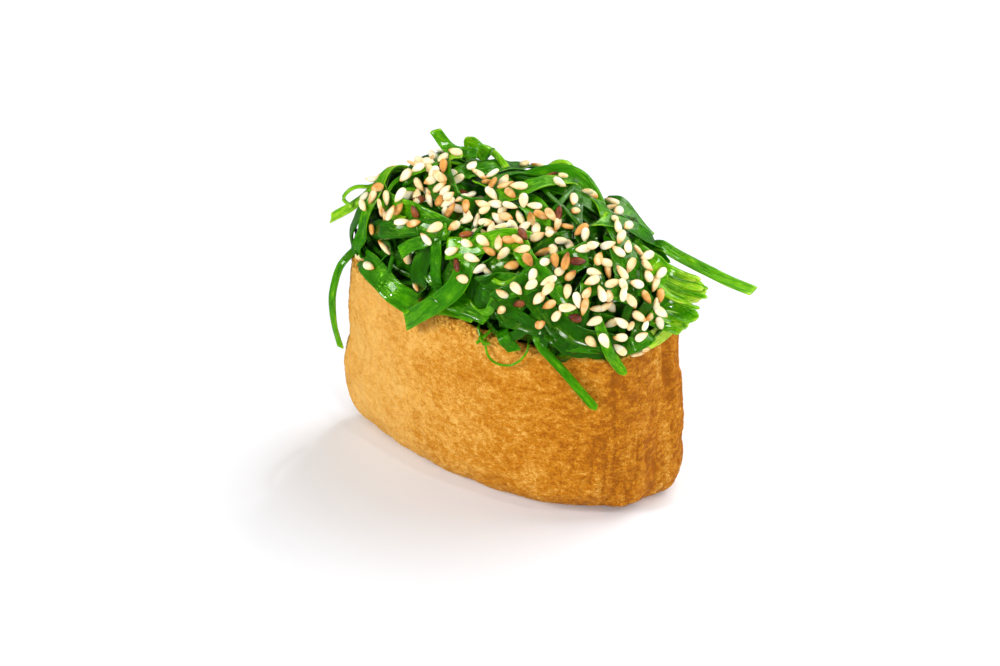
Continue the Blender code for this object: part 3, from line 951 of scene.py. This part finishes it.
# %% Strips that stand clear of the heap
STRIPS = {  # name: width, thickness, shade, the way the broad side faces, route, in mm
    "tip_hanging_strip": (1.5, 0.7, 0.44, (-0.3, -1, 0.3), (
        (-31.5, -1.2, 40.4), (-32.9, -1.6, 38.2), (-34.6, -1.8, 33.8),
        (-35.8, -1.8, 27.8), (-35.6, -1.6, 21.9), (-34.6, -1.4, 17.0))),
    "tip_top_strip": (2.2, 0.7, 0.62, (-0.3, -0.6, 0.8), (
        (-24.5, -2.4, 55.6), (-28.6, -2.2, 52.6), (-32.0, -2.0, 49.4), (-35.1, -2.0, 46.9))),
    "crest_strip": (2.1, 0.8, 0.38, (0.2, -0.8, 0.5), (
        (-8.0, 3.2, 63.4), (-9.9, 3.1, 63.3), (-12.1, 3.0, 63.2), (-13.9, 3.0, 64.2),
        (-15.9, 3.0, 67.0))),
    "crest_knob": (2.9, 0.8, 0.5, (0.3, -0.9, 0.3), (
        (-6.2, 6.0, 61.4), (-8.0, 6.0, 62.2), (-9.6, 6.2, 63.0), (-10.9, 6.2, 64.6))),
    "crest_arch": (4.2, 0.8, 0.28, (0.1, -0.5, 0.85), (
        (-4.4, -1.2, 58.4), (-2.0, 0.0, 58.4), (0.9, 2.2, 59.0), (4.2, 4.4, 59.8),
        (7.6, 5.6, 60.3), (10.6, 5.4, 59.9), (13.0, 4.4, 58.2), (14.8, 3.0, 56.2))),
    "blunt_edged_strip": (4.2, 1.1, 0.22, (0.6, -0.2, 0.75), (
        (16.0, 7.2, 56.0), (18.4, 6.8, 54.0), (20.9, 6.3, 51.6), (23.5, 5.8, 49.4))),
    "blunt_long_strip": (2.3, 0.7, 0.45, (0.1, -0.5, 0.85), (
        (23.1, 2.6, 51.0), (26.1, 2.0, 50.7), (31.6, 1.4, 50.0), (36.6, 0.8, 48.7),
        (41.3, 0.4, 47.3), (45.9, 0.0, 46.4))),
    "blunt_leaf": (5.6, 0.8, 0.56, (0.3, -0.55, 0.75), (
        (20.5, -3.4, 53.8), (25.6, -4.4, 50.6), (32.1, -5.0, 48.0), (38.0, -5.0, 47.0))),
    "front_hanging_strip": (1.7, 1.0, 0.36, (0.1, -1, 0.25), (
        (9.1, -17.2, 43.8), (11.3, -18.4, 40.4), (13.9, -19.0, 37.2),
        (16.4, -18.8, 34.3), (19.2, -18.3, 30.6), (22.0, -17.7, 26.8))),
    "blunt_hanging_strip": (1.9, 1.0, 0.46, (0.5, -0.9, 0.3), (
        (20.4, -15.6, 48.0), (21.9, -16.8, 44.4), (23.2, -16.8, 40.4), (24.8, -16.2, 37.2),
        (26.4, -15.2, 34.0))),
    "front_ribbon": (4.0, 0.8, 0.33, (-0.4, -0.9, 0.35), (
        (-2.6, -12.6, 55.6), (-3.3, -15.0, 51.3), (-5.3, -16.2, 46.9), (-9.0, -15.8, 42.4),
        (-12.8, -14.8, 38.6), (-16.4, -13.2, 35.0))),
    "rim_ribbon": (4.6, 0.8, 0.27, (-0.4, -0.7, 0.6), (
        (-29.4, -4.0, 41.4), (-26.0, -6.9, 41.7), (-22.3, -9.7, 41.1), (-18.8, -11.9, 39.9),
        (-14.5, -12.6, 38.4))),
}
print("loose strips:", len(STRIPS))


# %% Rest the strips on the heap
def pieces_tree():
    """A tree of all the pieces made so far, in mm, to cast rays at."""
    corners, polygons, start = [], [], 0
    for thing in bpy.context.scene.objects:
        if thing.type == "MESH" and "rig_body" in thing and thing.name not in frame["nodes"]:
            mesh = thing.data
            mesh.calc_loop_triangles()
            places = np.empty(len(mesh.vertices) * 3, np.float32)
            indices = np.empty(len(mesh.loop_triangles) * 3, np.int32)
            mesh.vertices.foreach_get("co", places)
            mesh.loop_triangles.foreach_get("vertices", indices)
            corners.append(places.reshape(-1, 3) / MM)
            polygons.append(indices.reshape(-1, 3) + start)
            start += len(mesh.vertices)
    return BVHTree.FromPolygons(np.concatenate(corners).tolist(), np.concatenate(polygons).tolist())


def lifted_clear(route, facing, width, clearance, most, reach=7.0):
    """The route raised along its facing over what lies in its way, as a stiff strip is: to the given
    clearance above it, but by no more than the most. The rays start at the reach above the route."""
    side = unit(np.cross(np.gradient(route, axis=0), facing))
    rise = []
    for point, across in zip(route, side):
        starts = [point + facing * reach + across * width * k for k in (-0.4, 0, 0.4)]
        hits = [heap_tree.ray_cast(Vector(p), Vector(-facing), reach)[3] for p in starts]
        rise.append(max([0] + [reach + clearance - hit for hit in hits if hit is not None]))
    return route + facing * np.minimum(smoothed(smoothed(rise, 6), 6), most)[:, None]


def strip_tubes(cuts, seed, ruffle=0.2, gutter=0.06, most=2.5, rounded=False):
    """Ribbons along routes of their own, one for each (width, thickness, facing, route) in mm. Each is
    raised over what is in its way, by the most in mm at most, and its first end stays low, as it
    comes out from under the heap. At a distance d from a rounded end, in ends' radii, the width
    goes by the circle's sqrt(1 - (1 - d)^2)."""
    routes, facings = [], []
    for width, thickness, facing, points in cuts:
        facing = unit(np.array(facing, float))
        route = smooth_route(points, 240)
        at = row_place * 239
        route = np.stack([np.interp(at, np.arange(240), axis) for axis in route.T], -1)
        if most:
            raised = lifted_clear(route, facing, width, thickness / 2, most)
            route += (raised - route) * eased(row_place / 0.3)[:, None]
        route -= facing * (2.0 * (1 - eased(row_place / 0.2)))[:, None]
        routes.append(route)
        facings.append(np.broadcast_to(facing, (ROWS, 3)))
    count = len(cuts)
    widths = np.array([cut[0] for cut in cuts])[:, None]
    run = np.linalg.norm(np.diff(routes, axis=1), axis=2).sum(axis=1)[:, None]
    left = (1 - row_place) * run / (0.8 * widths)  # the distance to the end, d
    end = np.sqrt(1 - (1 - left).clip(0, 0.96) ** 2) if rounded else 1.0
    return ribbons(
        np.array(routes),
        np.array(facings),
        widths * (1 + 0.12 * along_noise(count, 3, seed)) * end,
        np.array([cut[1] for cut in cuts]),
        0.25 * along_noise(count, 2, seed + 1),
        np.full(count, gutter),
        np.tile([0.1, 0.3], (count, 1)),
        np.full(count, ruffle) * np.minimum(widths[:, 0] / 2, 1),
        seed,
    )


heap_tree = pieces_tree()
hit = heap_tree.ray_cast(Vector((0, 0, 100)), Vector((0, 0, -1)))[0]
print("a ray down the middle meets the heap at, mm:", round(hit.z, 1))

# %% [markdown]
# ## The torn leaf, and making the strips
# One of the strips is a torn leaf: a sheet with frayed shreds along it and rounded lobes at its
# lower edge. A sheet with an uneven outline would do for its shape, but the shreds stand off each
# other in the real one, so they are narrow ribbons laid side by side on it.

# %% Make the strips
LEAF_LOBES = [  # the torn lower edge of the leaf: width, thickness, facing and route, in mm
    (3.4, 0.5, (0.2, -0.6, 0.8), (
        (27, -7.0, 46.0), (31, -7.4, 45.2), (34.5, -7.0, 43.9), (37.4, -6.8, 43.0))),
    (2.6, 0.5, (0.3, -0.6, 0.7), (
        (27, -8.5, 44.5), (31, -8.8, 43.9), (34, -8.0, 42.6), (35.8, -7.0, 41.4))),
    (2.0, 0.5, (0.3, -0.7, 0.6), (
        (28, -9.6, 43.2), (31, -9.6, 42.6), (33.4, -9.0, 41.6), (34.8, -8.2, 40.6))),
]
LEAF_SHREDS, LEAF_SPREAD = 9, 2.6
MOST_RISE = {"rim_ribbon": 0, "tip_hanging_strip": 0, "crest_arch": 0, "blunt_edged_strip": 0.7}
ROUNDED = ("crest_knob", "blunt_leaf", "front_hanging_strip", "blunt_hanging_strip")


def torn(facing, points):
    """The leaf's shreds, each a little shorter or longer than the next, and its lobes."""
    shreds = []
    for k, offset in enumerate(np.linspace(-LEAF_SPREAD, LEAF_SPREAD, LEAF_SHREDS)):
        route = np.array(points) + np.array([0, 0.78, 0.62]) * offset + unit(facing) * 0.35
        route[-1] += [1.0 - 0.5 * abs(offset) - 2.2 * (k * 5 % 3) / 2, 0, 0.4 * (k % 2)]
        shreds.append((0.8 + 0.25 * (k % 3), 0.5, facing, route))
    return shreds + LEAF_LOBES


for seed, (name, (width, thickness, shade, facing, points)) in enumerate(STRIPS.items(), 60):
    is_leaf = name == "blunt_leaf"
    cuts = [(width, thickness, facing, points)] + (torn(facing, points) if is_leaf else [])
    ruffle = 0.7 if is_leaf else 0.35
    tubes = strip_tubes(cuts, seed * 3, ruffle, 0.14, MOST_RISE.get(name, 2.5), name in ROUNDED)
    root_painted_shade = 0.45 if is_leaf else 0.2  # painted shade where it comes out from under the heap, painted light toward its free end
    own_shade = 0.12 * np.cos(np.arange(len(cuts)) * 2.2)[:, None, None]
    tone = shade + root_painted_shade * (row_place[:, None] - 0.6) + own_shade
    attributes = {"shade": tone, "tip": tip_share(len(cuts))}
    strip = add_tubes(name + "_wet", tubes, wet_seaweed, attributes, stretch=4.0)
    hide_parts(name)

# %% [markdown]
# ## Threads, loops and torn bits
# Between the ribbons there are fine threads: loops that stand up from the crest, a tendril that
# hangs over the rim, short ribbons along the rim and small lime bits. They could be curves, but
# as the same ribbons made narrower they share the fibres and the wet look.

# %% Threads and loops
THREADS = (  # width, thickness, facing, shade, route, in mm
    # a loop at the pointed end and two threads at the crest
    (0.9, 0.6, (0, 0, 1), 0.7, (
        (-24, -1, 53.5), (-27.3, -1.8, 55.0), (-29.5, -2.3, 55.2), (-31.2, -2.9, 54.2),
        (-32.0, -3.2, 52.5), (-30.5, -3.0, 51.0))),
    (1.4, 0.7, (0, -0.6, 0.8), 0.7, (
        (-12, 7.0, 58.5), (-10.5, 7.0, 61.0), (-8.6, 7.2, 62.2), (-7.0, 7.5, 61.9),
        (-5.2, 7.5, 60.5), (-3.0, 7, 58.0))),
    (0.9, 0.6, (0, -0.3, 1), 0.8, (
        (2.5, 8, 57.5), (4.2, 8, 60.0), (6.2, 8, 61.6), (8.4, 8, 61.4), (9.6, 8, 59.0))),
    # the tendril that hangs over the rim, and the bits beside it
    (0.42, 0.4, (0, -1, 0.1), 0.6, (
        (0.4, -14.6, 38.0), (0.5, -17.0, 36.8), (1.5, -18.4, 34.6), (3.4, -18.9, 33.6),
        (6.0, -19.1, 34.0), (8.0, -18.8, 35.6), (8.9, -18.0, 37.4), (8.6, -15.8, 38.8))),
    (0.5, 0.4, (0, -1, 0.3), 0.5, (
        (-1.8, -15.0, 38.6), (-0.6, -16.6, 37.2), (0.4, -17.4, 36.0))),
    (0.6, 0.4, (0, -1, 0.3), 0.55, (
        (1.6, -15.6, 38.8), (0.2, -17.0, 37.6), (-1.0, -17.8, 36.4))),
    (0.5, 0.4, (0, -1, 0.3), 0.6, (
        (-0.8, -17.6, 37.9), (0.3, -17.8, 37.0), (1.7, -17.9, 36.9))),
    (2.6, 0.5, (0, -1, 0.6), 0.34, (
        (3.6, -15.4, 39.6), (5.0, -17.6, 38.6), (6.6, -18.5, 36.8))),
    # a bit under the leaf and a fine curl above it
    (1.4, 0.5, (0.3, -0.5, 0.8), 0.8, (
        (28, -10.0, 42.4), (30.8, -8.8, 41.8), (32.8, -7.8, 40.4), (34.4, -7.4, 39.9))),
    (0.4, 0.35, (0, -0.6, 0.8), 0.55, (
        (22.5, -9.0, 52.0), (24.5, -10.4, 50.6), (25.2, -12.2, 48.6), (23.4, -13.4, 47.6))),
    # the lime leaf and two short ribbons at the rim near the blunt end
    (3.2, 0.6, (0.5, -0.7, 0.6), 0.98, (
        (25.8, -13.4, 38.4), (28.6, -11.4, 39.0), (31.0, -8.6, 39.4), (32.6, -5.6, 40.6))),
    (3.6, 0.6, (0.1, -0.8, 0.6), 0.32, (
        (22.6, -15.4, 40.2), (19.5, -16.4, 39.9), (16.5, -16.5, 39.8), (13.8, -16.0, 39.8))),
    (3.2, 0.6, (0.3, -0.8, 0.6), 0.36, (
        (24.4, -15.0, 40.0), (26.6, -14.4, 39.8), (28.4, -12.4, 40.0), (29.6, -10.2, 40.4))),
    # a ribbon down the side of the pointed end
    (2.4, 0.6, (-0.7, -0.6, 0.4), 0.26, (
        (-25.0, -4.8, 55.0), (-28.0, -3.6, 51.4), (-30.0, -2.7, 47.6), (-31.2, -2.0, 43.9),
        (-30.6, -1.6, 40.0))),
    # small lime bits
    (1.5, 0.5, (-0.3, -0.5, 0.8), 0.74, (
        (-20.4, -6.6, 53.0), (-18.6, -7.6, 52.4), (-17.0, -8.2, 52.6))),
    (1.3, 0.5, (-0.1, -0.4, 0.9), 0.84, (
        (-13.0, 1.2, 62.2), (-11.8, 1.6, 63.0), (-10.4, 2.2, 63.0))),
    (0.9, 0.5, (0, -0.7, 0.7), 0.7, (
        (0.8, -15.6, 50.4), (2.4, -16.4, 49.6), (4.4, -16.8, 49.4), (6.2, -16.2, 50.2),
        (7.0, -15.4, 51.2))),
    # two short ribbons on the front rim
    (1.4, 0.5, (-0.2, -0.8, 0.6), 0.56, (
        (-14.5, -14.4, 37.6), (-12.0, -14.6, 38.6), (-9.0, -14.2, 39.3), (-6.0, -14.2, 39.4),
        (-2.6, -14.6, 39.2))),
    (4.4, 0.6, (0, -0.7, 0.7), 0.24, (
        (-13.0, -11.6, 42.8), (-8.0, -13.0, 41.8), (-3.5, -14.2, 41.2), (1.5, -15.2, 40.8))),
    # a scrap that is nearly black
    (2.0, 0.9, (0, -0.5, 0.8), -0.5, (
        (18.4, -3.0, 54.6), (20.2, -3.4, 54.4), (22.0, -3.4, 53.8))),
)
tubes = strip_tubes([(*thread[:3], thread[4]) for thread in THREADS], 301)
shade = np.array([thread[3] for thread in THREADS])[:, None, None]
attributes = {"shade": shade, "tip": tip_share(len(THREADS))}
threads = add_tubes("seaweed_threads", tubes, wet_seaweed, attributes, stretch=3.0)

# %% [markdown]
# ## Sesame seeds: shape
# Roasted sesame is a flat drop 3 mm long. It could be a squashed ball, but that has no point. The
# shape is a closed tube whose girth follows a formula. It is repeated some two hundred times, so
# each seed has only about a hundred faces, and smooth shading does the rest.


# %% Shape of a seed
SEED_ROWS, SEED_AROUND = 9, 12
SEED_SIZE, SEED_SPREAD = np.array([3.05, 1.62, 0.92]), [0.08, 0.07, 0.1]  # mm, and share it varies by


def seed_shape():
    """A unit seed as (row, around, xyz): at a share u of its length its half width goes by
    u^0.8 (1 - u)^0.5, so it has one pointed and one round end."""
    u = (1 - np.cos(np.linspace(0, np.pi, SEED_ROWS + 2)[1:-1])) / 2
    girth = u**0.8 * (1 - u) ** 0.5
    girth /= girth.max()
    turn = np.arange(SEED_AROUND) * 2 * np.pi / SEED_AROUND
    length = np.broadcast_to((u - 0.5)[:, None], (SEED_ROWS, SEED_AROUND))
    width = girth[:, None] * np.cos(turn) / 2
    thickness = girth[:, None] ** 0.8 * np.sin(turn) / 2
    return np.stack([length, width, thickness], -1)


print("points of a seed:", seed_shape()[..., 0].size)

# %% [markdown]
# ## Sesame seeds: where they lie
# Seeds that are sprinkled by hand fall in clusters and lie flat on what they meet. A particle system
# could scatter them but would not lay them flat. Each seed is dropped along the heap's normal onto
# the ribbons, takes the slope from four more rays round it, and is raised when it lands on another.

# %% Drop a seed
ground = pieces_tree()
PROBE = 1.1  # how far the four rays are from the middle one, mm
STEEPEST = 2.2  # a greater rise within a seed's length is the edge of a ribbon or a gap
HALF_SEED = 0.42  # how far a seed's middle is from what it lies on, mm


def seat(spot):
    """The middle and the slope of a seed that is dropped at a place on the chart, or None where it
    can't lie. The slope is the cross product of the two lines between opposite rays' hits."""
    up = heap_normal(spot[None])[0]
    start = heap_point(spot[None])[0] + up * 16
    side = unit(np.cross(up, [0.3, 0.5, 0.81]))
    other = np.cross(up, side)
    hits = []
    for along, across in ((0, 0), (PROBE, 0), (-PROBE, 0), (0, PROBE), (0, -PROBE)):
        origin = start + side * along + other * across
        hit = ground.ray_cast(Vector(origin), Vector(-up), 18)[0]
        hits.append(origin - up * 30 if hit is None else np.array(hit))
    hits = np.array(hits)
    if np.ptp(hits @ up) > STEEPEST:
        return None
    slope = unit(np.cross(hits[1] - hits[2], hits[3] - hits[4]))
    slope = slope * np.sign(slope @ up)
    if slope @ up < 0.6:
        slope = unit(slope + 1.5 * up)
    middle = hits.mean(axis=0)
    return middle + slope * (0.75 * ((hits - middle) @ slope).max() + HALF_SEED), slope


# %% Scatter the seeds
CLUSTERS = (  # middle on the chart, spread along and across, turn, number of seeds
    ((-44, -9.5), (2.4, 0.7), -0.6, 3),
    ((-26, -3), (2, 2), 0, 5),
    ((-21, -3), (3, 2.2), 0, 17),
    ((-14, -3), (3.5, 2.4), 0, 26),
    ((-9, -6), (4, 2.4), -0.4, 20),
    ((-3, -9), (4, 2.4), -0.4, 24),
    ((5, -11), (4.5, 2.6), -0.2, 26),
    ((13, -11), (4, 3.5), 0, 26),
    ((20, -13), (4, 3), -0.3, 22),
    ((27, -15), (3.5, 2.8), -0.3, 14),
    ((33, -14), (2.5, 2), 0, 7),
    ((14, -22), (5, 3), 0, 8),
    ((4, 1), (8, 2), 0, 8),
    ((0, 17), (15, 6), 0, 14),
    ((-22, -14), (5, 4), 0, 6),
    ((-8, -22), (6, 3), 0, 4),
)
CLOSEST, CROWDED = 1.5, 2.1  # between the middles of seeds: never less, and one leans on the other
placed = []
frames = []
up = unit(np.array(STRIPS["rim_ribbon"][3]))
for point in ((-28.6, -5.0, 41.6), (-25.2, -7.6, 41.6)):  # two seeds on the ribbon at the rim
    hit = ground.ray_cast(Vector(np.array(point) + up * 4), Vector(-up), 8)[0]
    placed.append(np.array(hit) + up * HALF_SEED)
    heading = unit(np.cross(up, [0.2, 0.6, 1.0]))
    frames.append(np.stack([heading, np.cross(up, heading), up]))
for middle, spread_mm, turn, number in CLUSTERS:
    limit = 0.94 if middle[0] > -40 else 1.02  # the first cluster lies out over the rim
    tries = made = 0
    while made < number and tries < 60 * number:
        tries += 1
        offset = random.normal(0, 1, 2) * spread_mm
        along = offset[0] * math.cos(turn) - offset[1] * math.sin(turn)
        across = offset[0] * math.sin(turn) + offset[1] * math.cos(turn)
        spot = np.array(middle) + [along, across]
        inside = np.linalg.norm(spot) <= limit * chart_size(np.arctan2(spot[1], spot[0]))[0]
        found = seat(spot) if inside else None
        if found is None:
            continue
        centre, slope = found
        near = [np.linalg.norm(centre - other_centre) for other_centre in placed]
        crowd = sum(distance < CROWDED for distance in near)
        if centre[2] < RIM_HEIGHT + 2.0 or min(near) < CLOSEST or crowd > (2 if spot[0] < -4 else 1):
            continue
        centre = centre + slope * 0.55 * crowd
        placed.append(centre)
        tilt = unit(slope + random.normal(0, 0.12 + 0.16 * crowd, 3))
        heading = unit(np.cross(tilt, random.normal(0, 1, 3)))
        frames.append(np.stack([heading, np.cross(tilt, heading), tilt]))
        made += 1
print("seeds:", len(placed))

# %% [markdown]
# ## Sesame seeds: finish
# Hulled sesame is cream and turns brown in the pan, first at its pointed end, and a few seeds go
# nearly black. Its edges are darker too: partly browning and partly painted shade where the seed
# turns away. Three materials from one function give the three kinds, and a tone of its own for each
# seed keeps them from looking alike. A ramp over one random number would mix the kinds too evenly.
# The finish is satin, with a little light inside.


# %% Sesame finish
def sesame_finish(name, stops):
    """Roasted sesame whose ramp is read by the seed's tone, its pointed end, its edges and patches."""
    made, tree, shader = new_material(
        name,
        Roughness=0.42,
        Specular_IOR_Level=0.35,
        Subsurface_Weight=0.2,
        Subsurface_Scale=0.8 * MM,
        Subsurface_Radius=(1.0, 0.7, 0.4),
    )
    place = add_node(tree, "ShaderNodeTexCoord", output="Object")
    uv = add_node(tree, "ShaderNodeUVMap", output="UV", uv_map="uv")
    along = add_node(tree, "ShaderNodeSeparateXYZ", (uv,), "X")
    patches, wrinkles = (
        add_node(tree, "ShaderNodeTexNoise", {"Vector": place, "Scale": per_mm(size)})
        for size in (1.6, 0.25)
    )
    tone = add_node(tree, "ShaderNodeAttribute", output="Fac", attribute_name="tone")
    changes = [
        (along, 0.0, 0.4, 0.45, 0.0),
        # the edges: painted shade where the seed turns away, with some browning
        (edge_share(tree, uv), 0.0, 1.0, 0.0, 0.22),
        (patches, 0.35, 0.7, -0.12, 0.3),
    ]
    colour = add_node(tree, "ShaderNodeValToRGB", (toned(tree, tone, changes),), stops=stops)
    relief_inputs = {"Height": wrinkles, "Strength": 0.15, "Distance": 0.1 * MM}
    tree.links.new(colour, shader.inputs["Base Color"])
    tree.links.new(add_node(tree, "ShaderNodeBump", relief_inputs), shader.inputs["Normal"])
    return made


# %% Make the seeds
KINDS = (  # name, share of the seeds up to, colours from pale to browned
    ("sesame_pale", 0.84, ((0.0, "#fdf5dc"), (0.4, "#f4dba0"), (0.85, "#cf8a33"))),
    ("sesame_toasted", 0.96, ((0.0, "#f4d6a0"), (0.4, "#dfa04a"), (0.9, "#8d4417"))),
    ("sesame_dark", 1.01, ((0.0, "#a65a22"), (0.5, "#5e2413"), (0.9, "#33120c"))),
)
frames, placed = np.array(frames), np.array(placed)
count = len(placed)
size = SEED_SIZE * random.normal(1, SEED_SPREAD, (count, 3))
shape = seed_shape()
seeds = placed[:, None, None] + np.einsum("rak,nk,nkx->nrax", shape, size, frames)
kind = random.uniform(0, 1, count)
lower = 0.0
for name, upper, stops in KINDS:
    own = (kind >= lower) & (kind < upper)
    tone = random.uniform(0, 0.35, own.sum())[:, None, None]
    add_tubes(name, seeds[own], sesame_finish(name + "_seed", stops), {"tone": tone})
    lower = upper

# %% [markdown]
# ## Floor
# A matt white table that runs out of the frame, so the only thing round the food is its soft shadow.
# A curved backdrop would do as well, but from this height only the table is seen.

# %% White table
bpy.ops.mesh.primitive_plane_add(size=6.0, location=(0, 0, 0))
floor = bpy.context.object
floor.name = "white_table"
white, tree, shader = new_material("matt_white_table", Roughness=0.9)
shader.inputs["Base Color"].default_value = linear("#f0f2f6")
floor.data.materials.append(white)
floor.visible_glossy = False  # the wet leaves mirror the lamps, not the table
floor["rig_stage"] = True

# %% Finish
low, high = (list(corner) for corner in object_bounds())
print("shown size, mm:", ((np.array(high) - low) / MM).round(1), "from", (np.array(low) / MM).round(1))
